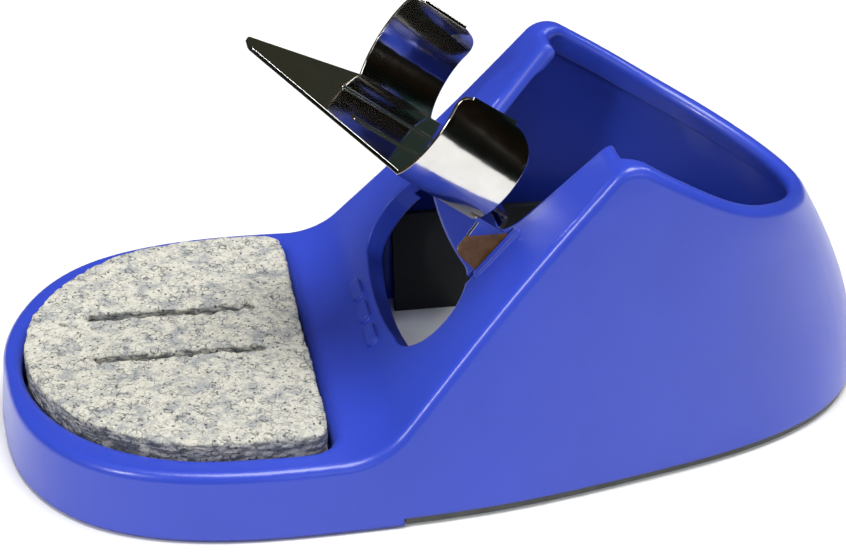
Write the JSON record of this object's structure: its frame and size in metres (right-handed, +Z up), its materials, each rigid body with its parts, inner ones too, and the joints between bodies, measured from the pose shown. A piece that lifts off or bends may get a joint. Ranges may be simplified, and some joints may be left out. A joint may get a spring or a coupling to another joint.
{
  "type": "soldering iron stand",
  "caption": "Moulded stand for a soldering iron with a tilting spring-steel cradle over an open bowl and a damp cleaning sponge in a tray in front.",
  "frame": {"origin": "centre of the stand's footprint, on the table plane under the feet", "axes": "+Z up, +X from the nose of the sponge tray to the rear of the bowl, +Y to the stand's left; the plane Y = 0 is the plane of symmetry"},
  "size_m": [0.1501, 0.09, 0.0664],
  "materials": {
    "blue_plastic": "satin moulded",
    "zinc_steel": "zinc-plated sheet",
    "screw_steel": "nickel-plated",
    "black_plastic": "matt",
    "weight_iron": "as cast",
    "foot_rubber": "matt",
    "spring_steel": "polished",
    "sleeve_brass": "turned",
    "sponge_cellulose": "open-pored cellulose",
    "wick_cellulose": "open-pored cellulose"
  },
  "bodies": {
    "stand": {"housing": "blue_plastic", "base_plate": "zinc_steel", "base_screws": "screw_steel", "inner_liner": "black_plastic", "weight_block": "weight_iron", "weight_screws": "screw_steel", "foot_front_right": "foot_rubber", "foot_front_left": "foot_rubber", "foot_middle_right": "foot_rubber", "foot_middle_left": "foot_rubber", "foot_rear_right": "foot_rubber", "foot_rear_left": "foot_rubber", "pivot_screws": "screw_steel", "pivot_washers": "screw_steel", "pivot_spring_washers": "screw_steel", "pivot_sleeves": "sleeve_brass", "pivot_nuts": "screw_steel"},
    "cradle": {"cradle": "spring_steel"},
    "sponge": {"sponge": "sponge_cellulose"},
    "wick": {"wick_sponge": "wick_cellulose"}
  },
  "joints": [
    {"name": "cradle_tilt", "type": "hinge", "parent": "stand", "child": "cradle", "pos_m": [0.0105, 0, 0.0323], "axis": [0, 1, 0], "range_deg": [-10, 10]},
    {"name": "sponge_lift", "type": "slide", "parent": "stand", "child": "sponge", "axis": [0, 0, 1], "range_m": [0, 0.03]},
    {"name": "wick_lift", "type": "slide", "parent": "stand", "child": "wick", "axis": [0, 0, 1], "range_m": [0, 0.015]}
  ],
  "couplings": [
    {"joint": "wick_lift", "follows": "sponge_lift", "ratio": 0.5}
  ]
}
